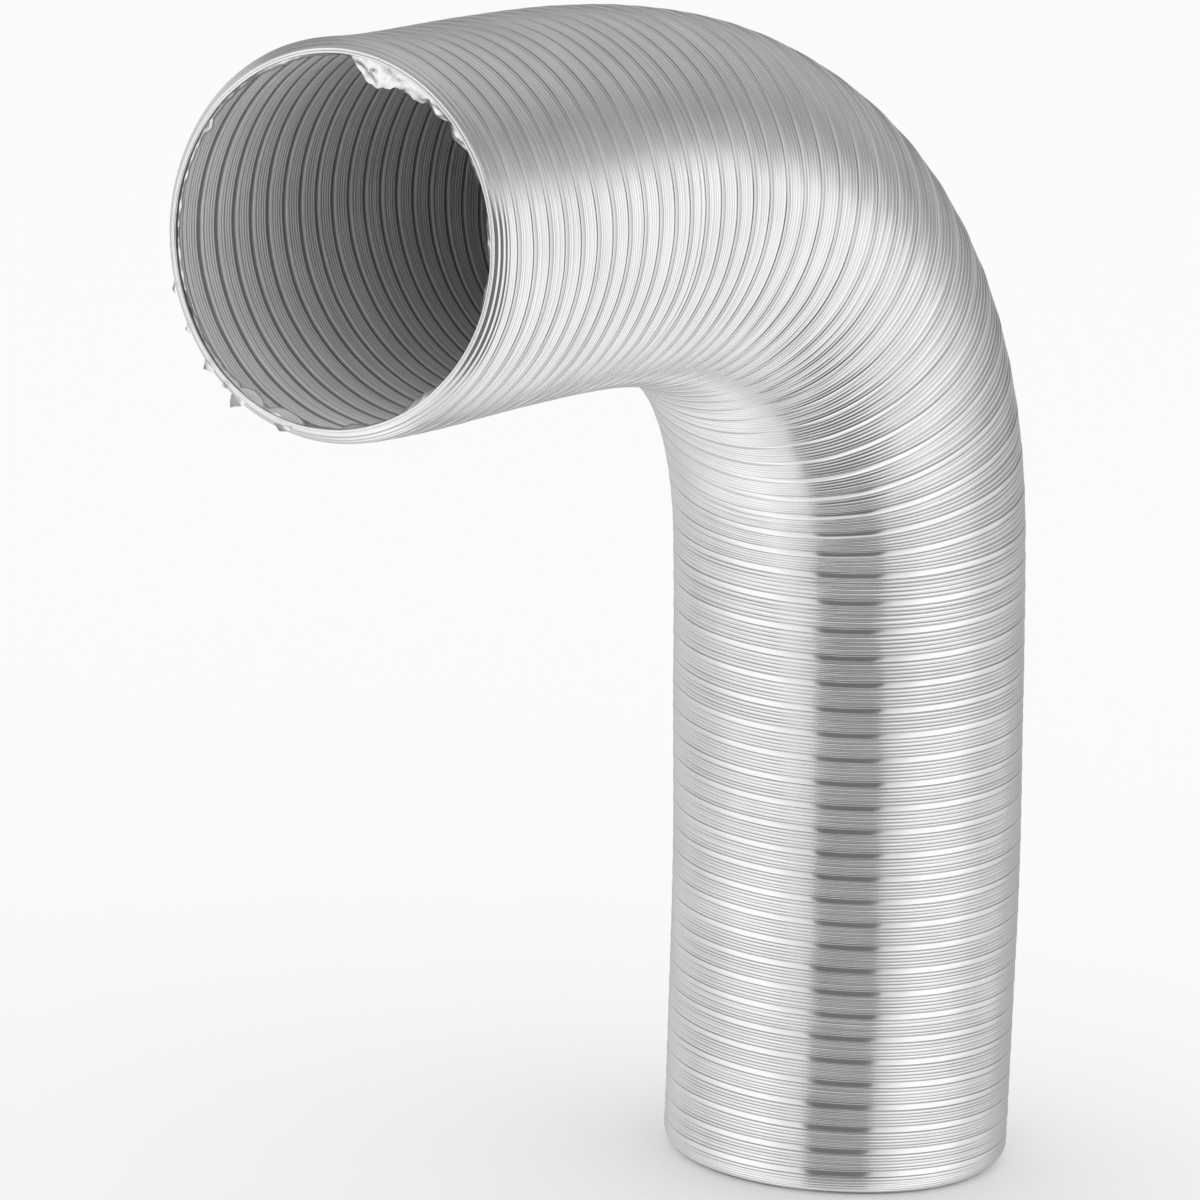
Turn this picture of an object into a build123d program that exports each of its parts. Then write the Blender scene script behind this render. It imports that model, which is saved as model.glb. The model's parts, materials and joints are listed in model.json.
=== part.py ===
"""Semi-rigid flexible aluminium air duct, nominal 125 mm, held in a bend of about 90 degrees.

The duct is one strip of pleated foil wound in a spiral, with its edges folded into a lock seam.
It is modelled turn by turn: each turn is the stiff lock-seam band with the pleats on both sides
of it, up to the middle crest that it shares with the next turn, where the wall flexes.

Frame: the origin is the centre of the lower mouth, +Z goes up the lower leg, and the bend lies
in the YZ plane with the upper mouth facing -Y. All lengths are in millimetres.
"""
import os
from math import cos, exp, gamma, radians, sin

from build123d import *

# Wall
outer_diameter = 130.0
pleat_depth = 1.6
foil_thickness = 0.4            # measured radially, so about 0.15 across a steep pleat
band_radius = 64.6              # outside of the flat lock-seam band
band_share = 0.26               # of one turn's length
step_share = 0.02               # the folded edge beside the band
crests_per_side = 3             # pleat crests from the band to the joint with the next turn

# Mouths, turned inward at both ends
mouth_radius = 59.5
lip_length = 4.0
rim_width = 1.4
shoulder_length = 7.8
shoulder_bulge_out = 0.74       # where the rounded shoulder's middle lies, as a share of its width
shoulder_bulge_up = 0.33        # and of its length

# Route of the centreline
leg_length = 240.0
leg_bow = 7.3                   # degrees
bend_length = 378.0
bend_angle = 83.9               # degrees
bend_rise = 0.231               # how fast the curvature builds up
bend_fade = 1.603               # and how slowly it fades
tip_length = 48.0
tip_turn = -3.9                 # degrees

# Spacing of the turns along the centreline
leg_pitch = 8.9
tip_pitch = 9.9
stretched_extra = 7.1           # added to the pitch where the turns are pulled furthest apart
stretched_at = 355.0
stretched_spread = 78.0

turn_count = 60
end_turn_share = 1.5            # the end turns are longer, for the turned-in shoulder
joint_gap = 0.3                 # between neighbouring turns
end_overrun = 2.0               # an end turn is made this much too long, then cut at its joint
upper_leg_share = 0.72          # turns past this share of the bend are named as the upper leg's

outer_radius = outer_diameter / 2
valley_radius = outer_radius - pleat_depth
duct_length = leg_length + bend_length + tip_length


def curvature(s):
    """Turning of the centreline at length s, in radians per millimetre."""
    if s < leg_length:
        return radians(leg_bow) / leg_length
    x = (s - leg_length) / bend_length
    if x < 1:
        whole = gamma(bend_rise + 1) * gamma(bend_fade + 1) / gamma(bend_rise + bend_fade + 2)
        return radians(bend_angle) / bend_length * x**bend_rise * (1 - x) ** bend_fade / whole
    return radians(tip_turn) / tip_length


def pitch(s):
    """Length of one turn at length s, before the turns are scaled to fill the duct."""
    from_peak = (s - stretched_at) / stretched_spread
    return leg_pitch + (tip_pitch - leg_pitch) * s / duct_length + stretched_extra * exp(-(from_peak**2) / 2)


def trace_route(step=0.25):
    """Points (s, y, z, tilt, turns so far) along the centreline."""
    s, y, z, tilt, turns = 0.0, 0.0, 0.0, 0.0, 0.0
    points = [(s, y, z, tilt, turns)]
    for _ in range(round(duct_length / step)):
        middle = s + step / 2
        tilt_there = tilt + curvature(middle) * step / 2
        y -= sin(tilt_there) * step
        z += cos(tilt_there) * step
        tilt += curvature(middle) * step
        turns += step / pitch(middle)
        s += step
        points.append((s, y, z, tilt, turns))
    return points


route = trace_route()


def between(value, column, wanted):
    """Linear look-up of one column of the route by another."""
    low, high = 0, len(route) - 1
    while high - low > 1:
        middle = (low + high) // 2
        if route[middle][column] <= value:
            low = middle
        else:
            high = middle
    a, b = route[low], route[high]
    share = (value - a[column]) / (b[column] - a[column])
    return a[wanted] + (b[wanted] - a[wanted]) * share


def plane_at(s):
    """Plane across the duct at length s, with its normal along the centreline."""
    tilt = between(s, 0, 3)
    centre = (0, between(s, 0, 1), between(s, 0, 2))
    return Plane(origin=centre, x_dir=(1, 0, 0), z_dir=(0, -sin(tilt), cos(tilt)))


def turn_edges():
    """Lengths at which one turn ends and the next begins."""
    windings = turn_count - 2 + 2 * end_turn_share
    per_winding = route[-1][4] / windings
    marks = [end_turn_share + k for k in range(turn_count - 1)]
    return [0.0] + [between(m * per_winding, 4, 0) for m in marks] + [duct_length]


def pleats(start, end, first_radius):
    """Sections (s, outer radius) from start to end, alternating between crest and valley."""
    folds = 2 * crests_per_side - 1
    radii = [outer_radius, valley_radius] if first_radius == outer_radius else [valley_radius, outer_radius]
    return [(start + (end - start) * i / folds, radii[i % 2]) for i in range(folds + 1)]


def turn_sections(start, end):
    """Sections of a turn: pleats, the flat band in the middle, pleats."""
    length = end - start
    middle = (start + end) / 2
    band_half = length * band_share / 2
    band = [(middle - band_half, band_radius), (middle + band_half, band_radius)]
    valley_half = band_half + length * step_share
    below = pleats(start, middle - valley_half, outer_radius)
    above = pleats(middle + valley_half, end, valley_radius)
    return below + band + above


def lofted_side(sections, inset):
    """The side faces of a loft that runs straight from circle to circle."""
    with BuildPart() as body:
        for s, radius in sections:
            with BuildSketch(plane_at(s)):
                Circle(radius - inset)
        loft(ruled=True)
    return body.faces().filter_by(GeomType.PLANE, reverse=True)


def wall_end(s, radius):
    """The thin ring of foil that closes the wall at length s."""
    with BuildSketch(plane_at(s)) as ring:
        Circle(radius)
        Circle(radius - foil_thickness, mode=Mode.SUBTRACT)
    return ring.sketch.face()


def pleated_wall(sections):
    """The foil wall: its outer and inner sides and its two ends, sewn into one solid."""
    ends = [wall_end(*sections[0]), wall_end(*sections[-1])]
    sides = lofted_side(sections, 0) + lofted_side(sections, foil_thickness)
    return Solid(Shell(sides + ends))


def end_turn(mouth, joint, kept_side):
    """An end turn, with its mouth turned inward: rim, rounded shoulder, band and pleats, then the
    lip inside. The mouth plane's normal points into the duct; the joint plane cuts the pleats."""
    length = abs((joint.origin - mouth.origin).dot(mouth.z_dir))
    winding = (length - shoulder_length) / (0.5 + band_share / 2 + step_share)
    rim_radius = mouth_radius + rim_width
    bulge_radius = rim_radius + shoulder_bulge_out * (band_radius - rim_radius)
    bulge_height = shoulder_bulge_up * shoulder_length
    band_end = shoulder_length + winding * band_share
    folds = pleats(band_end + winding * step_share, length, valley_radius)
    wall = [(shoulder_length, band_radius), (band_end, band_radius)] + folds
    wall.append((length + end_overrun, outer_radius))
    with BuildPart() as turn:
        with BuildSketch(Plane(origin=mouth.origin, x_dir=mouth.x_dir, z_dir=-mouth.y_dir)):
            with BuildLine():
                outside = ThreePointArc(
                    (rim_radius, 0), (bulge_radius, bulge_height), (band_radius, shoulder_length)
                )
                Polyline(*[(radius, height) for height, radius in wall])
                back = [(radius - foil_thickness, height) for height, radius in reversed(wall)]
                Polyline((wall[-1][1], wall[-1][0]), *back)
                inside = ThreePointArc(
                    back[-1],
                    (bulge_radius - foil_thickness, bulge_height + foil_thickness / 2),
                    (rim_radius - foil_thickness / 2, foil_thickness),
                )
                Polyline(
                    inside @ 1,
                    (mouth_radius + foil_thickness, foil_thickness),
                    (mouth_radius + foil_thickness, lip_length),
                    (mouth_radius, lip_length),
                    (mouth_radius, 0),
                    outside @ 0,
                )
            make_face()
        revolve(axis=Axis(mouth.origin, mouth.z_dir))
        split(bisect_by=joint, keep=kept_side)
    return turn.part


def turn_name(number, middle):
    """Name of a turn by where it lies."""
    if number == 1:
        return "lower_end_turn"
    if number == turn_count:
        return "upper_end_turn"
    if middle < leg_length:
        zone = "leg"
    elif middle < leg_length + upper_leg_share * bend_length:
        zone = "bend"
    else:
        zone = "upper"
    return f"{zone}_turn_{number:02d}"


os.makedirs("parts", exist_ok=True)
edges = turn_edges()

for number in range(1, turn_count + 1):
    start = edges[number - 1]
    end = edges[number]
    name = turn_name(number, (start + end) / 2)
    if number == 1:
        turn = end_turn(Plane.XY, plane_at(end - joint_gap / 2), Keep.BOTTOM)
    elif number == turn_count:
        across = plane_at(end)
        facing_in = Plane(origin=across.origin, x_dir=across.x_dir, z_dir=-across.z_dir)
        turn = end_turn(facing_in, plane_at(start + joint_gap / 2), Keep.TOP)
    else:
        turn = pleated_wall(turn_sections(start + joint_gap / 2, end - joint_gap / 2))
    turn.label = name
    export_step(turn, f"parts/{name}.step")
    print(name, f"{start:.2f} to {end:.2f} mm", f"{turn.volume:.0f} mm3")
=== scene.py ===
"""Looks of the semi-rigid flexible aluminium duct: pleated foil turns, turned-in mouths, studio.

The route of the duct is that of the CAD, in metres: the origin is the centre of the lower mouth, +Z
goes up the lower leg, and the bend lies in the YZ plane with the upper mouth facing -Y.
"""

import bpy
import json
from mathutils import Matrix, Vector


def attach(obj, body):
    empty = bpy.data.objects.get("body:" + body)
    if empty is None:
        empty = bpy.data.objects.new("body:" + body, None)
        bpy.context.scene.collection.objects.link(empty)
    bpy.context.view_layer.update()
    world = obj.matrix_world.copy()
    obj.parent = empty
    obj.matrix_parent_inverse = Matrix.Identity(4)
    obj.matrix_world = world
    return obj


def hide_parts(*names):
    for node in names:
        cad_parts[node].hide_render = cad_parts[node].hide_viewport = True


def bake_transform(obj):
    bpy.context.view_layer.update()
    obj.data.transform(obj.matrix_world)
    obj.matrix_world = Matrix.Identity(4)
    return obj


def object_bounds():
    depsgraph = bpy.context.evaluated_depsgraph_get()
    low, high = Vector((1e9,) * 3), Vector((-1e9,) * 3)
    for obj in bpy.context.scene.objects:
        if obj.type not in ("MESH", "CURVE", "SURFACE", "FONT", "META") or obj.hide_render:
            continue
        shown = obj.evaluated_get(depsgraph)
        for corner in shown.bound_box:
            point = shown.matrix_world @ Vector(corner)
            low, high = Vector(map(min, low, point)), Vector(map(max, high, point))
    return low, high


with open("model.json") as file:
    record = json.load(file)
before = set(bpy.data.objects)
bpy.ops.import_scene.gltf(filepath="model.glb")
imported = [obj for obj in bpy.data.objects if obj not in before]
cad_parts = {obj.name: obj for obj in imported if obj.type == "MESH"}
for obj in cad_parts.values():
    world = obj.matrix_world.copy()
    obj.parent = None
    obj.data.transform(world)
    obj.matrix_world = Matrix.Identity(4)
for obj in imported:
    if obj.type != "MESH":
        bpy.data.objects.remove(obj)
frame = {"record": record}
cad_box = [list(corner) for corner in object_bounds()]

import json
from math import cos, exp, gamma, pi, radians, sin, tau

import bpy
import numpy as np
from mathutils import Matrix, Vector

# ---------------------------------------------------------------- the duct's own sizes, metres
OUTER_RADIUS = 0.0650
MOUTH_RADIUS = 0.0597           # inside of the rolled rim
WALL = 0.00022                  # thickness of the drawn foil

LEG_LENGTH = 0.240
LEG_BOW = radians(7.3)
BEND_LENGTH = 0.378
BEND_ANGLE = radians(83.9)
BEND_RISE = 0.231               # how fast the curvature builds up
BEND_FADE = 1.603               # and how slowly it fades
TIP_LENGTH = 0.048
TIP_TURN = radians(-3.9)
DUCT_LENGTH = LEG_LENGTH + BEND_LENGTH + TIP_LENGTH

LEG_PITCH = 0.0089
TIP_PITCH = 0.0099
STRETCHED_EXTRA = 0.0071        # added to the pitch where the turns are pulled furthest apart
STRETCHED_AT = 0.355
STRETCHED_SPREAD = 0.078
TURNS = 60
END_TURN_SHARE = 1.5            # the end turns are longer, for the turned-in shoulder

# ---------------------------------------------------------------- how one turn is formed
AROUND = 180
SMOOTH_UP_TO = radians(50)      # edges sharper than this are drawn sharp

HALF_BAND = 0.0013              # half the width of the lock-seam band
# the band's (offset along the duct, depth under the outer radius, shade painted on it in the fold)
BAND_PROFILE = [(-0.00130, 0.00100, 0.76), (-0.00114, 0.00090, 0.76), (-0.00111, 0.00006, 0.1),
                (-0.00098, 0.00001, 0.0), (0.00094, 0.00002, 0.0), (0.00102, 0.00006, 0.0),
                (0.00128, 0.00046, 0.3)]
BAND_TOP = 0.0001               # what lies less deep than this is the flat of the band

RIDGES = 5                      # rolled pleats between two bands
END_RIDGES = 6                  # and between an end turn's band and the mouth
CREST_DROP = 0.00010            # how far the pleats' crests lie under the band
RIDGE_JITTER = 0.12             # unevenness of the pleats' widths, as a share of one
CREST_JITTER = 0.00006          # and of their heights
RIDGE_SWAY = 0.010              # how far they wander, as a share of the way from band to band

# one pleat from its crest to its fold, as (share of the half width, share of the depth)
CLOSED_SHAPE = [(0.0, 0.0), (0.25, 0.08), (0.45, 0.27), (0.62, 0.52), (0.78, 0.78), (0.9, 0.94),
                (1.0, 1.0)]
PLEAT_STEPS = [-u for u, _ in CLOSED_SHAPE[-2:0:-1]] + [u for u, _ in CLOSED_SHAPE]
CLOSED_WIDTH, CLOSED_DEPTH = 0.0012, 0.00030
OPEN_WIDTH, OPEN_DEPTH = 0.0038, 0.00110
ROUND_WIDTH = 0.0026            # pleats opened this far have become plain waves

# shade painted into the folds: between closed pleats, between open ones, and how narrow the lines are
CLOSED_SHADE, OPEN_SHADE, FOLD_POWER = 0.09, 0.45, 1.5
# and shade painted inside the duct: behind the crests, behind the band, and how narrow
CREST_SHADE, BAND_SHADE, CREST_POWER = 0.70, 0.80, 0.8

OUT_OF_ROUND = 0.00035          # size of the hand-bent wall's slow waves
WAVE_DEPTH = 0.00006            # and of its quick ones
SPIRAL_LEAN = 0.2               # how far a ring leans, as a share of the pitch
LEAN_FADE = 0.030               # length over which the lean builds up behind a mouth
LEAN_STARTS = 0.3               # and where that begins, as a share of this length from the mouth
SHORTEST_FLEX = 0.0005          # least length of the span that bend_with_joint works out between two rings

# ---------------------------------------------------------------- how a mouth is formed
SHOULDER_LENGTH = 0.0062        # where the wall turns in at a mouth
SHOULDER_DROP = 0.0043
SHOULDER_POWER = 2.2
RIM_START = 0.0004              # the wall ends and the rolled rim starts this far from the mouth
RIM_ROLL = 0.0005               # radius of the roll
RIM_STEPS = 8
# the edge behind the roll, as (distance from the mouth, distance outside MOUTH_RADIUS)
RIM_TAIL = [(0.0025, 0.0001), (0.0040, 0.0004)]

LIP_STEPS = 8
LIP_WALL = 0.00012
LIP_ROOT = 0.0012               # the lip starts this far outside MOUTH_RADIUS
LIP_BACK = 0.0006               # and this far from the mouth
LIP_SAG = 0.0018                # and curves back this much further
LIP_SLANT = 0.22                # besides which its flaps slant back, as a share of their reach
LIP_REACH = 0.0006              # how far it reaches inwards between the flaps
LIP_UNEVEN = 0.0003             # and how uneven that is
FLAP_UNEVEN = 0.16              # and a flap's edge, as a share of its reach
LIP_FOLD = 0.0011               # depth of the creases where the lip reaches LONG_REACH inwards
FOLD_INWARDS = 0.4              # how much of it also shows across the mouth
LONG_REACH = 0.008
CREASES = ((11, 1.1), (19, 2.3), (31, 1.7), (47, 3.1), (71, 2.0))   # (how many, slant) of each set

SHRED_HALF_WALL = 0.00006
SHRED_TWIST = 1.1               # radians from root to point
SHRED_ROOT = 0.0022             # outside MOUTH_RADIUS
SHRED_SUNK = 0.0004             # how deep the root is sunk into the rim
# a shred's (share of the length, half width as a share of the width, bow as a share of the length)
SHRED_PROFILE = ((0, 0.5, 0), (0.35, 0.42, 0.10), (0.7, 0.24, -0.06), (1.0, 0.03, 0.16))

# flaps of torn lip, as (angle in degrees, half width in degrees, reach inwards)
UPPER_TEARS = [(76, 12, 0.0085), (63, 7, 0.0060), (52, 6, 0.0042), (41, 6, 0.0040), (30, 9, 0.0026),
               (8, 11, 0.0030), (-9, 7, 0.0024), (-52, 9, 0.0024), (-78, 5, 0.0018), (257, 7, 0.0026),
               (243, 5, 0.0020), (148, 3, 0.0014), (112, 14, 0.0012)]
LOWER_TEARS = [(15, 10, 0.0030), (75, 6, 0.0022), (130, 16, 0.0038), (205, 7, 0.0024),
               (290, 12, 0.0030)]
# scraps on the upper rim, as (angle in degrees, width, length, lean outwards in radians)
UPPER_SHREDS = [(257, 0.0070, 0.0022, 1.0), (240, 0.0058, 0.0044, 0.9), (234, 0.0030, 0.0022, 0.2),
                (226, 0.0052, 0.0026, 0.6), (213, 0.0038, 0.0016, 0.4), (200, 0.0046, 0.0014, 0.5)]

# ---------------------------------------------------------------- how it is seen
# the photograph's camera, in the frame of the CAD
VIEW_AZIMUTH = radians(30.65)
VIEW_ELEVATION = radians(11.66)
VIEW_ROLL = radians(2.72)
VIEW_DISTANCE = 2.3362
VIEW_TARGET = Vector((-0.0846, -0.0501, 0.2065))
VIEW_LENS = 188.27
SENSOR_WIDTH = 36.0
TO_VIEWER = Vector((sin(VIEW_AZIMUTH) * cos(VIEW_ELEVATION), -cos(VIEW_AZIMUTH) * cos(VIEW_ELEVATION),
                    sin(VIEW_ELEVATION)))

# the surround that the foil mirrors, as (degrees to the right of the camera, grey) at the horizon
SURROUND = [(-180, 0.46), (-150, 0.62), (-117, 0.70), (-95, 0.88), (-80, 1.06), (-55, 1.12),
            (-38, 0.90), (-26, 0.80), (-23, 0.78), (-21, 0.17), (21, 0.17), (23, 0.64), (33, 0.84),
            (48, 1.12), (75, 1.14), (95, 0.84), (117, 0.72), (130, 0.54), (150, 0.44), (180, 0.46)]
GAP_HALF = 22                   # the stops nearer to the camera than this are the dark gap's
GAP_FILLED = 0.78               # grey above and below the gap
# sines of the elevations between which the gap begins, and between which it ends, going up
GAP_BOTTOM, GAP_TOP = (-0.80, -0.60), (0.16, 0.36)
EVEN_TOP = (0.60, 0.90)         # and between which the surround becomes even all round
# how much of the surround is left, as (sine of the elevation, share): dim above, lighter at the top
OVERHEAD = [(0.0, 1.0), (0.26, 1.0), (0.40, 0.72), (0.52, 0.44), (0.72, 0.36), (0.88, 0.48),
            (1.0, 0.55)]
SURROUND_LIGHT = 1.06           # what everything but the mirroring sees, all round

# the foil's faint clouds: their two colours, and what they take from and add to the roughness
FOIL_DARK, FOIL_LIGHT = (0.83, 0.835, 0.845, 1), (0.93, 0.93, 0.935, 1)
SMOOTHER, ROUGHER = 0.06, 0.08
CLOUD_SCALE = 38.0
# painted shade: the dark grey that the folds and the inside of the duct are darkened towards
PAINTED_SHADE_COLOUR = (0.12, 0.12, 0.125, 1)
LINE_SCALE = (12, 1100, 1)      # rolling lines: long along the strip, fine across it
LINE_DEPTH, LINE_STRENGTH = 0.00004, 0.35
MARKS_STRENGTH = 0.5
INSIDE_DULLER = 0.22            # added to the roughness inside the duct
INSIDE_METAL = 0.05             # how metallic it is inside, against 1 outside
FLOOR_HALF, FLOOR_GAP = 6, 0.0005
FLOOR_COLOUR, FLOOR_ROUGHNESS = (0.93, 0.93, 0.93, 1), 0.9

random = np.random.default_rng(7)   # draws the pleats' unevenness, turn by turn


# ---------------------------------------------------------------- centreline
def curvature(s):
    """Turning of the centreline at length s, in radians per metre."""
    if s < LEG_LENGTH:
        return LEG_BOW / LEG_LENGTH
    x = (s - LEG_LENGTH) / BEND_LENGTH
    if x < 1:
        whole = gamma(BEND_RISE + 1) * gamma(BEND_FADE + 1) / gamma(BEND_RISE + BEND_FADE + 2)
        return BEND_ANGLE / BEND_LENGTH * x**BEND_RISE * (1 - x) ** BEND_FADE / whole
    return TIP_TURN / TIP_LENGTH


def pitch(s):
    """Length of one turn at length s, before the turns are scaled to fill the duct."""
    from_peak = (s - STRETCHED_AT) / STRETCHED_SPREAD
    stretched = STRETCHED_EXTRA * exp(-(from_peak**2) / 2)
    return LEG_PITCH + (TIP_PITCH - LEG_PITCH) * s / DUCT_LENGTH + stretched


def trace_route(step=0.00025):
    """Columns s, y, z, tilt and turns so far, along the centreline."""
    s, y, z, tilt, turns = 0.0, 0.0, 0.0, 0.0, 0.0
    rows = [(s, y, z, tilt, turns)]
    for _ in range(round(DUCT_LENGTH / step)):
        middle = s + step / 2
        tilt_there = tilt + curvature(middle) * step / 2
        y -= sin(tilt_there) * step
        z += cos(tilt_there) * step
        tilt += curvature(middle) * step
        turns += step / pitch(middle)
        s += step
        rows.append((s, y, z, tilt, turns))
    return np.array(rows)


ROUTE = trace_route()
WINDINGS = TURNS - 2 + 2 * END_TURN_SHARE


def at_winding(n):
    """Length along the centreline at winding number n, from 0 to WINDINGS."""
    return np.interp(n * ROUTE[-1, 4] / WINDINGS, ROUTE[:, 4], ROUTE[:, 0])


def on_route(s):
    """y, z and tilt at length s, carried straight on past both ends."""
    inside = np.clip(s, 0, DUCT_LENGTH)
    y, z, tilt = (np.interp(inside, ROUTE[:, 0], ROUTE[:, i]) for i in (1, 2, 3))
    past = s - inside
    return y - np.sin(tilt) * past, z + np.cos(tilt) * past, tilt


def radial(tilt, phi):
    """Unit vectors straight out of the duct at angle phi, from +X towards the bend's outside."""
    return np.stack([np.cos(phi), np.sin(phi) * np.cos(tilt), np.sin(phi) * np.sin(tilt)], -1)


def duct_axis(s):
    """Unit vector along the duct at length s."""
    tilt = float(on_route(s)[2])
    return np.array([0, -sin(tilt), cos(tilt)])


# ---------------------------------------------------------------- unevenness of the hand-bent foil
def ripple(waves, seed):
    """A smooth random function of (s, phi), of about unit size, from waves that are each given as
    (how many round the duct, how many to a metre)."""
    source = np.random.default_rng(seed)
    terms = []
    for around, per_metre in waves:
        phase = source.uniform(0, tau, 2)
        size = source.uniform(0.5, 1.0)
        terms.append((around, per_metre * source.uniform(0.7, 1.3), phase, size))

    def value(s, phi):
        total = 0
        for around, per_metre, phase, size in terms:
            lengthways = np.cos(tau * per_metre * s + phase[1])
            total = total + size * np.sin(around * phi + phase[0]) * lengthways
        return total / len(terms) ** 0.5
    return value


slow_waves = ripple([(2, 2), (3, 4), (4, 3), (5, 7), (7, 11)], 1)
quick_waves = ripple([(9, 30), (13, 55), (17, 40), (23, 70), (31, 90)], 2)
ridge_drift = ripple([(1, 9), (2, 16), (3, 25), (5, 33), (8, 47)], 3)


def helix_lean(s, phi):
    """How far along the duct a ring leans, like the left-handed spiral does on the viewer's side."""
    tilt = on_route(s)[2]
    outward = TO_VIEWER.y * np.cos(tilt) + TO_VIEWER.z * np.sin(tilt)
    front = np.arctan2(outward, TO_VIEWER.x)
    fade = np.clip(min(s, DUCT_LENGTH - s) / LEAN_FADE - LEAN_STARTS, 0, 1)
    return -SPIRAL_LEAN * pitch(s) * fade * np.cos(phi - front - pi / 2)


PHI = np.linspace(0, tau, AROUND, endpoint=False)


def shoulder(s):
    """How far the wall has turned in at length s, near a mouth."""
    inwards = np.clip(1 - min(s, DUCT_LENGTH - s) / SHOULDER_LENGTH, 0, 1)
    return SHOULDER_DROP * inwards**SHOULDER_POWER


def ring(s, offset=0.0, radius=OUTER_RADIUS):
    """Points of a stiff ring whose middle is at length s, offset along the duct."""
    y, z, tilt = on_route(s)
    out = radial(tilt, PHI)
    along = offset + helix_lean(s, PHI)
    at = s + offset
    radius = radius + OUT_OF_ROUND * slow_waves(at, PHI) + WAVE_DEPTH * quick_waves(at, PHI)
    axis = np.array([0, -np.sin(tilt), np.cos(tilt)])
    return np.array([0, y, z]) + along[:, None] * axis + np.asarray(radius)[..., None] * out


# ---------------------------------------------------------------- one turn's profile
def opened(width, full_width):
    """How far pleats of this width are open, from 0 when closed to 1 at full_width."""
    return np.clip((width - CLOSED_WIDTH) / (full_width - CLOSED_WIDTH), 0, 1)


def closed_shape(u):
    """Depth of a closed pleat at u, from 0 at its crest to 1 in the folds at u = -1 and 1."""
    return float(np.interp(abs(u), *zip(*CLOSED_SHAPE)))


def pleat_drop(u, width):
    """Depth below the crest at u, from -1 to 1 across one pleat: a roll over a fold, or a wave."""
    depth = CLOSED_DEPTH + (OPEN_DEPTH - CLOSED_DEPTH) * opened(width, OPEN_WIDTH)
    closed = depth * closed_shape(u)
    wave = depth * (1 - cos(pi * u)) / 2
    rounded = opened(width, ROUND_WIDTH)
    rounded = rounded * rounded * (3 - 2 * rounded)
    return closed * (1 - rounded) + wave * rounded


def band_rows(s):
    """Rows of points of the flat lock-seam band at length s."""
    return [ring(s, offset, OUTER_RADIUS - drop) for offset, drop, _ in BAND_PROFILE]


def pleat_rows(low, high, low_tilt, high_tilt, ridges, s, s_high):
    """Rows of the pleats from the ring of points low, at length s, to the ring high, at s_high,
    and how much shade is painted on each row, on the outside and on the inside."""
    span = high - low
    width = np.linalg.norm(span, axis=-1) / ridges
    fold_shade = CLOSED_SHADE + (OPEN_SHADE - CLOSED_SHADE) * opened(width, ROUND_WIDTH)
    edges = np.arange(ridges + 1) / ridges
    edges[1:-1] += random.uniform(-RIDGE_JITTER, RIDGE_JITTER, ridges - 1) / ridges
    lift = random.uniform(-CREST_JITTER, CREST_JITTER, ridges)
    rows, shades = [], []
    for i in range(ridges):
        for u in PLEAT_STEPS:
            share = edges[i] + (edges[i + 1] - edges[i]) * (u + 1) / 2
            sway = RIDGE_SWAY * sin(pi * share) * ridge_drift(s + share * pitch(s), PHI)
            out = radial(low_tilt + (high_tilt - low_tilt) * share, PHI)
            drop = CREST_DROP + lift[i] * (1 - u * u) + pleat_drop(u, width)
            drop = drop + shoulder(s + (s_high - s) * share)
            rows.append(low + span * (share + sway)[:, None] - drop[:, None] * out)
            fold = closed_shape(u)
            # painted shade: dark in the folds on the outside, behind the crests on the inside
            shades.append((fold_shade * fold**FOLD_POWER, CREST_SHADE * (1 - fold**CREST_POWER)))
    return rows, shades


# ---------------------------------------------------------------- meshes
def place_object(name, mesh):
    """An object of this mesh, in the scene."""
    thing = bpy.data.objects.new(name, mesh)
    bpy.context.scene.collection.objects.link(thing)
    return thing


def grid_mesh(name, outside, inside):
    """A closed thin wall from two grids of points (rows along the duct, columns around it)."""
    rows, columns = outside.shape[:2]
    far = rows * columns
    vertices = np.concatenate([outside.reshape(-1, 3), inside.reshape(-1, 3)])
    index = np.arange(far).reshape(rows, columns)
    around = np.roll(index, -1, axis=1)
    front = np.stack([index[:-1], around[:-1], around[1:], index[1:]], -1).reshape(-1, 4)
    back = front[:, ::-1] + far
    start_rim = np.stack([index[0] + far, around[0] + far, around[0], index[0]], -1)
    end_rim = np.stack([index[-1], around[-1], around[-1] + far, index[-1] + far], -1)
    faces = np.concatenate([front, back, start_rim, end_rim])
    mesh = bpy.data.meshes.new(name)
    mesh.vertices.add(len(vertices))
    mesh.vertices.foreach_set("co", vertices.astype(np.float32).ravel())
    mesh.loops.add(faces.size)
    mesh.loops.foreach_set("vertex_index", faces.astype(np.int32).ravel())
    mesh.polygons.add(len(faces))
    mesh.polygons.foreach_set("loop_start", np.arange(0, faces.size, 4, dtype=np.int32))
    mesh.update(calc_edges=True)
    mesh.polygons.foreach_set("use_smooth", np.ones(len(faces), bool))
    mesh.set_sharp_from_angle(angle=SMOOTH_UP_TO)
    return mesh, faces


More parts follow.
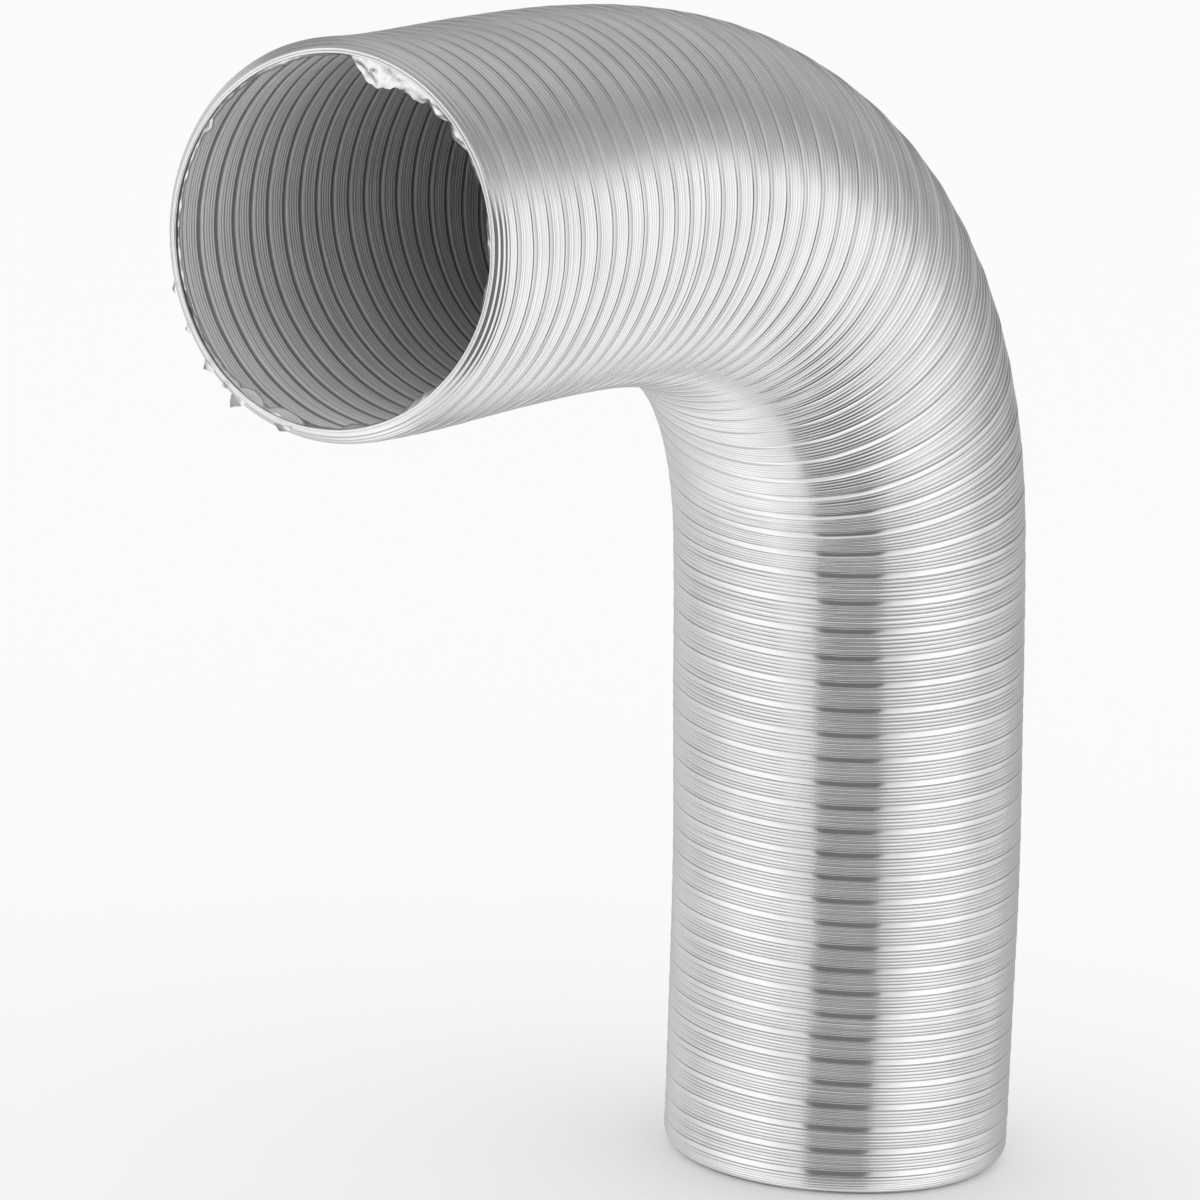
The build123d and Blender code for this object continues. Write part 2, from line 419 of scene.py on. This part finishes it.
def add_strip_uv(mesh, faces, rows, s):
    """UVs in metres: along the strip (around the duct) and across it (along the duct)."""
    u = np.tile((PHI * OUTER_RADIUS)[None, :].repeat(len(rows), 0).ravel(), 2)
    travel = np.linalg.norm(np.diff(rows, axis=0), axis=-1).mean(axis=1)
    across = s + np.concatenate([[0], np.cumsum(travel)])
    v = np.tile(across[:, None].repeat(len(PHI), 1).ravel(), 2)
    layer = mesh.uv_layers.new(name="strip")
    corner_u = u[faces]
    # the faces that close the circle have their far edge one time round further on
    wraps = corner_u.max(axis=1) - corner_u.min(axis=1) > pi * OUTER_RADIUS
    low = corner_u < pi * OUTER_RADIUS
    corner_u[wraps[:, None] & low] += tau * OUTER_RADIUS
    layer.data.foreach_set("uv", np.stack([corner_u, v[faces]], -1).astype(np.float32).ravel())


def unit(vectors):
    """The same directions with length 1."""
    return vectors / np.maximum(np.linalg.norm(vectors, axis=-1, keepdims=True), 1e-12)


def add_point_values(mesh, name, values):
    """One number for every point of the mesh, which the material reads by this name."""
    attribute = mesh.attributes.new(name, "FLOAT", "POINT")
    attribute.data.foreach_set("value", values.astype(np.float32).ravel())


def foil_piece(name, rows, shades, tilts, s):
    """An object of thin foil whose outer side is the given rows of points.

    shades says for each row how much shade is painted on it, on the outside and on the inside, and
    tilts holds the duct's tilt at each row.
    """
    rows = np.array(rows)
    steps = unit(np.diff(rows, axis=0))
    along = np.concatenate([steps[:1], unit(steps[:-1] + steps[1:]), steps[-1:]])
    around = np.roll(rows, -1, axis=1) - np.roll(rows, 1, axis=1)
    outward = unit(np.cross(around, along))
    # both ends are thickened straight inwards, to meet the neighbouring turns
    outward[0], outward[-1] = radial(tilts[0], PHI), radial(tilts[-1], PHI)
    mesh, faces = grid_mesh(name, rows, rows - WALL * outward)
    add_strip_uv(mesh, faces, rows, s)
    shade = np.array([[np.broadcast_to(value, AROUND) for value in pair] for pair in shades])
    shade = shade.transpose(1, 0, 2)
    side = np.zeros_like(shade)
    side[1] = 1
    # painted shade for each point: the outside points first, then the inside ones
    add_point_values(mesh, "painted_fold_shade", shade)
    add_point_values(mesh, "inside", side)
    return place_object(name, mesh)


def foil_turn(number):
    """Band and pleats of one turn. The band is stiff; the pleats run on to the next turn's band,
    or to the mouth, and the first turn has pleats from its own mouth to the band as well.

    Returns the piece, and the rings of points where the stiff part ends and where the piece ends.
    """
    s = float(at_winding(number))
    tilt = float(on_route(s)[2])
    rows = band_rows(s) + [ring(s, HALF_BAND, OUTER_RADIUS - CREST_DROP - CLOSED_DEPTH)]
    # painted shade of the band's rows: in the seam's fold outside, on the flat of the band inside
    shades = [(fold, BAND_SHADE if drop < BAND_TOP else 0.0) for _, drop, fold in BAND_PROFILE]
    shades.append((CLOSED_SHADE, 0.0))
    stiff = len(rows)

    if number < TURNS:
        s_next, offset, ridges = float(at_winding(number + 1)), -HALF_BAND, RIDGES
        _, last_drop, last_shade = BAND_PROFILE[0]
    else:
        s_next, offset, ridges = DUCT_LENGTH - RIM_START, 0.0, END_RIDGES
        last_drop, last_shade = shoulder(s_next), 0.0
    next_tilt = float(on_route(s_next)[2])
    pleats, pleat_shades = pleat_rows(ring(s, HALF_BAND), ring(s_next, offset), tilt, next_tilt,
                                      ridges, s + HALF_BAND, s_next + offset)
    rows += pleats[:-1] + [ring(s_next, offset, OUTER_RADIUS - last_drop)]
    shades += pleat_shades[:-1] + [(last_shade, 0.0)]

    if number == 1:
        pleats, pleat_shades = pleat_rows(ring(RIM_START), ring(s, -HALF_BAND), 0.0, tilt,
                                          END_RIDGES, RIM_START, s - HALF_BAND)
        rows = [ring(RIM_START, 0.0, OUTER_RADIUS - shoulder(RIM_START))] + pleats[:-1] + rows
        shades = [(0.0, 0.0)] + pleat_shades[:-1] + shades
        stiff += len(pleats)
    tilts = np.interp(np.arange(len(rows)), [stiff - 1, len(rows) - 1], [tilt, next_tilt])
    piece = foil_piece(f"foil_turn_{number:02d}", rows, shades, tilts, s)
    return piece, rows[stiff - 1], rows[-1]


def across_normal(points):
    """Unit normal of the plane of a ring of points, pointing along the duct."""
    third = len(points) // 3
    a, b, c = points[0], points[third], points[2 * third]
    normal = np.cross(b - a, c - a)
    return normal / np.linalg.norm(normal)


def bend_with_joint(piece, first, last, upper_first):
    """Work out the span between the ring first and the ring last along their mean normal, then
    only bake the piece's transform: it is bound to no body and doesn't bend. Both values of
    upper_first do the same."""
    normal = across_normal(first) + across_normal(last)
    normal /= np.linalg.norm(normal)
    middle = (first.mean(axis=0) + last.mean(axis=0)) / 2
    start = (first @ normal).max() - middle @ normal
    end = (last @ normal).min() - middle @ normal
    if end - start < SHORTEST_FLEX:
        centre = (start + end) / 2
        start, end = centre - SHORTEST_FLEX / 2, centre + SHORTEST_FLEX / 2
    start, end = tuple(middle + normal * start), tuple(middle + normal * end)
    if upper_first:
        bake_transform(piece)
    else:
        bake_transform(piece)


# ---------------------------------------------------------------- rolled rims and torn lips
def mouth_frame(at_start):
    """Length at the mouth and the direction out of it, as +1 or -1 along the duct."""
    return (0.0, -1.0) if at_start else (DUCT_LENGTH, 1.0)


def mouth_rim(name, at_start):
    """The strip's edge rolled in round the mouth."""
    end, out = mouth_frame(at_start)
    profile = [(RIM_START, OUTER_RADIUS - shoulder(RIM_START))]
    middle = MOUTH_RADIUS + RIM_ROLL
    for step in range(RIM_STEPS + 1):
        angle = pi * step / RIM_STEPS
        profile.append((RIM_ROLL * (1 - sin(angle)), middle + RIM_ROLL * cos(angle)))
    profile += [(back, MOUTH_RADIUS + outside) for back, outside in RIM_TAIL]
    rows = [ring(end, 0.0, radius) - out * back * duct_axis(end) for back, radius in profile]
    if at_start:
        rows.reverse()
    tilt = float(on_route(end)[2])
    return foil_piece(name, rows, [(0.0, 0.0)] * len(rows), [tilt] * len(rows), end)


def crease(phi, t, seed):
    """Sharp-edged folds of crumpled foil, about -1 to 1, at angle phi and share t of the reach."""
    source = np.random.default_rng(seed)
    total = 0
    for around, slant in CREASES:
        shift = source.uniform(0, tau)
        along = slant * t * source.choice((-1, 1))
        total = total + (1 - 2 * np.abs(np.sin(around * phi / 2 + along + shift)))
    return total / 3


def torn_lip(name, at_start, tears, seed):
    """Foil left over inside the rolled rim, bent inwards, folded and torn off unevenly."""
    end, out = mouth_frame(at_start)
    phi = np.linspace(0, tau, 720, endpoint=False)
    reach = LIP_REACH + LIP_UNEVEN * crease(phi, 0.0, seed + 1)
    for angle, half_width, depth in tears:
        away = np.abs((np.degrees(phi) - angle + 180) % 360 - 180) / half_width
        flap = depth * np.clip(1 - away**2, 0, 1) ** 0.6
        reach = np.maximum(reach, flap * (1 + FLAP_UNEVEN * crease(phi, 0.4, seed + 2)))
    y, z, tilt = on_route(end)
    axis, outward = duct_axis(end), radial(float(tilt), phi)
    rows = []
    for step in range(LIP_STEPS + 1):
        t = step / LIP_STEPS
        size = np.clip(reach / LONG_REACH, 0.05, 1)
        fold = crease(phi, 2.0 * t, seed) * size * LIP_FOLD * sin(pi * (0.15 + 0.7 * t))
        radius = MOUTH_RADIUS + LIP_ROOT - (reach + LIP_ROOT) * t + FOLD_INWARDS * fold
        back = LIP_BACK + LIP_SAG * t**2 + LIP_SLANT * reach * t - fold
        rows.append(np.array([0, y, z]) + radius[:, None] * outward - out * back[:, None] * axis)
    rows = np.array(rows[::-1] if at_start else rows)
    mesh, _ = grid_mesh(name, rows, rows - LIP_WALL * axis)
    return place_object(name, mesh)


def shreds(name, at_start, places):
    """Small pointed scraps that stand off the rim."""
    end, out = mouth_frame(at_start)
    y, z, tilt = on_route(end)
    axis = duct_axis(end) * out
    vertices, faces = [], []
    for angle, width, length, lean in places:
        outward = radial(float(tilt), np.array([radians(angle)]))[0]
        side = np.cross(axis, outward)
        root = np.array([0, y, z]) + (MOUTH_RADIUS + SHRED_ROOT) * outward - SHRED_SUNK * axis
        up = axis * cos(lean) + outward * sin(lean)
        flat = np.cross(side, up)
        first = len(vertices)
        for along, half, bow in SHRED_PROFILE:
            middle = root + up * length * along + flat * bow * length
            twist = side * cos(SHRED_TWIST * along) + flat * sin(SHRED_TWIST * along)
            for edge in (-1, 1):
                for face in (SHRED_HALF_WALL, -SHRED_HALF_WALL):
                    vertices.append(middle + twist * half * width * edge + flat * face)
        # four points to a row: front and back of the left edge, then of the right one
        for a in range(first, len(vertices) - 4, 4):
            faces += [(a, a + 2, a + 6, a + 4), (a + 1, a + 5, a + 7, a + 3),
                      (a, a + 4, a + 5, a + 1), (a + 2, a + 3, a + 7, a + 6)]
        tip = len(vertices) - 4
        faces += [(first, first + 1, first + 3, first + 2), (tip, tip + 2, tip + 3, tip + 1)]
    mesh = bpy.data.meshes.new(name)
    mesh.from_pydata([tuple(v) for v in vertices], [], faces)
    mesh.update()
    return place_object(name, mesh)


# ---------------------------------------------------------------- materials
def add_node(tree, kind, inputs):
    """A new shader node whose inputs, by name or number, are constants or other nodes' outputs."""
    node = tree.nodes.new(kind)
    for name, value in inputs.items():
        if isinstance(value, bpy.types.NodeSocket):
            tree.links.new(value, node.inputs[name])
        else:
            node.inputs[name].default_value = value
    return node


def calculate(tree, operation, *values):
    """Output of a maths node."""
    node = add_node(tree, "ShaderNodeMath", dict(enumerate(values)))
    node.operation = operation
    return node.outputs["Value"]


def noise(tree, place, scale, detail):
    """Output of a noise texture at these coordinates."""
    inputs = {"Vector": place, "Scale": scale, "Detail": detail}
    return add_node(tree, "ShaderNodeTexNoise", inputs).outputs["Fac"]


def point_value(tree, name):
    """Output of a number that the mesh holds for each of its points."""
    node = tree.nodes.new("ShaderNodeAttribute")
    node.attribute_name = name
    return node.outputs["Fac"]


def ranged(tree, value, at_0, at_1):
    """Output that goes from at_0 to at_1 while the value goes from 0 to 1."""
    inputs = {"Value": value, "To Min": at_0, "To Max": at_1}
    return add_node(tree, "ShaderNodeMapRange", inputs).outputs["Result"]


def foil_material(name, roughness, marks_scale, marks_depth):
    """Bright rolled aluminium: fine lines along the strip, faint clouds, soft handling marks, and
    shade painted into the folds and, inside the duct, behind the crests and bands.
    """
    material = bpy.data.materials.new(name)
    material.use_nodes = True
    tree = material.node_tree
    links = tree.links
    shader = tree.nodes["Principled BSDF"]
    place = tree.nodes.new("ShaderNodeTexCoord").outputs["Object"]
    clouds = noise(tree, place, CLOUD_SCALE, detail=4.0)
    painted_fold_shade, inside = point_value(tree, "painted_fold_shade"), point_value(tree, "inside")

    colour = add_node(tree, "ShaderNodeValToRGB", {"Fac": clouds})
    dark, light = colour.color_ramp.elements
    dark.position, dark.color = 0.3, FOIL_DARK
    light.position, light.color = 0.7, FOIL_LIGHT
    # painted shade: the base colour is darkened towards the painted shade colour by the mesh's fold
    # values
    shaded = tree.nodes.new("ShaderNodeMix")
    shaded.data_type = "RGBA"
    shaded.inputs["B"].default_value = PAINTED_SHADE_COLOUR
    links.new(painted_fold_shade, shaded.inputs["Factor"])
    links.new(colour.outputs["Color"], shaded.inputs["A"])
    links.new(shaded.outputs["Result"], shader.inputs["Base Color"])

    rough = ranged(tree, clouds, roughness - SMOOTHER, roughness + ROUGHER)
    rough = calculate(tree, "MULTIPLY_ADD", inside, INSIDE_DULLER, rough)
    links.new(rough, shader.inputs["Roughness"])
    links.new(ranged(tree, inside, 1.0, INSIDE_METAL), shader.inputs["Metallic"])

    uv = tree.nodes.new("ShaderNodeUVMap")
    uv.uv_map = "strip"
    stretched = add_node(tree, "ShaderNodeMapping", {"Vector": uv.outputs["UV"], "Scale": LINE_SCALE})
    lines = noise(tree, stretched.outputs["Vector"], scale=4.0, detail=3.0)
    marks = noise(tree, place, marks_scale, detail=2.0)
    fine = add_node(tree, "ShaderNodeBump",
                    {"Height": lines, "Strength": LINE_STRENGTH, "Distance": LINE_DEPTH})
    soft = add_node(tree, "ShaderNodeBump",
                    {"Height": marks, "Strength": MARKS_STRENGTH, "Distance": marks_depth,
                     "Normal": fine.outputs["Normal"]})
    links.new(soft.outputs["Normal"], shader.inputs["Normal"])
    return material


def floor_material():
    """Plain pale studio floor."""
    material = bpy.data.materials.new("pale_floor")
    material.use_nodes = True
    shader = material.node_tree.nodes["Principled BSDF"]
    shader.inputs["Base Color"].default_value = FLOOR_COLOUR
    shader.inputs["Roughness"].default_value = FLOOR_ROUGHNESS
    return material


# ---------------------------------------------------------------- build the duct
# turns for which bend_with_joint is told the bodies come in the other order; it bakes them all the same
# way
UPPER_FIRST = (34, 36, 38, 40, 45)


def turn_nodes():
    """The CAD node of each turn, by its number. All but the end turns' names end with it."""
    nodes = {1: "lower_end_turn", TURNS: "upper_end_turn"}
    for joint in frame["record"]["behaviour"]["joints"]:
        number = joint["child"].split("_")[-1]
        if number.isdigit():
            nodes[int(number)] = joint["child"]
    return nodes


def build_turns(nodes, foil):
    """Every turn, in the place of its CAD node, whose part is hidden. Only the last turn rides on its
    body; the others are only baked where they are built.
    """
    for number in range(1, TURNS + 1):
        piece, first, last = foil_turn(number)
        piece.data.materials.append(foil)
        node = nodes[number]
        if number < TURNS:
            bend_with_joint(piece, first, last, number in UPPER_FIRST)
        else:
            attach(piece, node)
        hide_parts(node)


def build_mouths(nodes, foil):
    """Rim, lip and scraps of both mouths, riding on the end turns."""
    lower = [mouth_rim("lower_mouth_rim", at_start=True),
             torn_lip("lower_mouth_lip", at_start=True, tears=LOWER_TEARS, seed=5)]
    upper = [mouth_rim("upper_mouth_rim", at_start=False),
             torn_lip("upper_mouth_lip", at_start=False, tears=UPPER_TEARS, seed=5),
             shreds("upper_mouth_shreds", at_start=False, places=UPPER_SHREDS)]
    for node, pieces in ((nodes[1], lower), (nodes[TURNS], upper)):
        for piece in pieces:
            piece.data.materials.append(foil)
            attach(piece, node)


node_of_turn = turn_nodes()
wall_foil = foil_material("pleated_foil", roughness=0.13, marks_scale=160.0, marks_depth=0.00006)
rim_foil = foil_material("crumpled_foil", roughness=0.26, marks_scale=260.0, marks_depth=0.00012)
build_turns(node_of_turn, wall_foil)
build_mouths(node_of_turn, rim_foil)


# ---------------------------------------------------------------- studio
def studio_floor():
    """A pale floor just under the duct, which the foil doesn't mirror."""
    corners = [(-FLOOR_HALF, -FLOOR_HALF, 0), (FLOOR_HALF, -FLOOR_HALF, 0),
               (FLOOR_HALF, FLOOR_HALF, 0), (-FLOOR_HALF, FLOOR_HALF, 0)]
    mesh = bpy.data.meshes.new("floor")
    mesh.from_pydata(corners, [], [(0, 1, 2, 3)])
    floor = place_object("floor", mesh)
    floor.location.z = cad_box[0][2] - FLOOR_GAP
    mesh.materials.append(floor_material())
    floor.visible_glossy = False


def studio_world():
    """White surround. What mirrors it sees softboxes beside the camera, a dark gap between them at
    the camera, and a greyer backdrop behind the duct and overhead."""
    world = bpy.data.worlds.new("studio")
    world.use_nodes = True
    bpy.context.scene.world = world
    tree = world.node_tree
    toward = tree.nodes.new("ShaderNodeTexCoord").outputs["Generated"]

    def share_along(direction):
        node = add_node(tree, "ShaderNodeVectorMath", {0: toward, 1: direction})
        node.operation = "DOT_PRODUCT"
        return node.outputs["Value"]

    def smooth_step(value, start, end):
        node = add_node(tree, "ShaderNodeMapRange", {"Value": value, "From Min": start, "From Max": end})
        node.interpolation_type = "SMOOTHSTEP"
        return node.outputs["Result"]

    def curve(value, stops):
        node = add_node(tree, "ShaderNodeFloatCurve", {"Value": value})
        points = node.mapping.curves[0].points
        while len(points) < len(stops):
            points.new(0.5, 0.5)
        for point, stop in zip(points, stops):
            point.location = stop
            point.handle_type = "VECTOR"
        node.mapping.use_clip = False
        node.mapping.update()
        return node.outputs["Value"]

    def mixed(first, second, share):
        change = calculate(tree, "MULTIPLY", calculate(tree, "SUBTRACT", second, first), share)
        return calculate(tree, "ADD", first, change)

    height = share_along((0, 0, 1))
    to_camera = share_along((sin(VIEW_AZIMUTH), -cos(VIEW_AZIMUTH), 0))
    to_right = share_along((cos(VIEW_AZIMUTH), sin(VIEW_AZIMUTH), 0))
    turned = calculate(tree, "DIVIDE", calculate(tree, "ARCTAN2", to_right, to_camera), tau)
    around = calculate(tree, "ADD", turned, 0.5)
    with_gap = [((angle + 180) / 360, grey) for angle, grey in SURROUND]
    without_gap = [((angle + 180) / 360, GAP_FILLED if abs(angle) < GAP_HALF else grey)
                   for angle, grey in SURROUND]
    over_bottom = smooth_step(height, *GAP_BOTTOM)
    under_top = smooth_step(height, *reversed(GAP_TOP))
    in_gap = calculate(tree, "MULTIPLY", over_bottom, under_top)
    wall = mixed(curve(around, without_gap), curve(around, with_gap), in_gap)
    wall = mixed(wall, 1.0, smooth_step(height, *EVEN_TOP))
    left = curve(calculate(tree, "MAXIMUM", height, 0.0), OVERHEAD)
    mirrored = calculate(tree, "MULTIPLY", wall, left)

    path = tree.nodes.new("ShaderNodeLightPath")
    seen = add_node(tree, "ShaderNodeMix",
                    {"Factor": path.outputs["Is Glossy Ray"], "A": SURROUND_LIGHT, "B": mirrored})
    tree.links.new(seen.outputs["Result"], tree.nodes["Background"].inputs["Color"])


def photo_camera():
    """Long lens, slightly above the duct and a little tilted."""
    camera = place_object("camera", bpy.data.cameras.new("camera"))
    camera.data.lens = VIEW_LENS
    camera.data.sensor_width = SENSOR_WIDTH
    back = TO_VIEWER
    level_right = Vector((cos(VIEW_AZIMUTH), sin(VIEW_AZIMUTH), 0))
    level_up = back.cross(level_right)
    right = level_right * cos(VIEW_ROLL) + level_up * sin(VIEW_ROLL)
    up = back.cross(right)
    place = VIEW_TARGET + back * VIEW_DISTANCE
    camera.matrix_world = Matrix((
        (right.x, up.x, back.x, place.x),
        (right.y, up.y, back.y, place.y),
        (right.z, up.z, back.z, place.z),
        (0, 0, 0, 1)))
    bpy.context.scene.camera = camera


studio_floor()
studio_world()
photo_camera()
bpy.context.scene.view_settings.view_transform = "Standard"
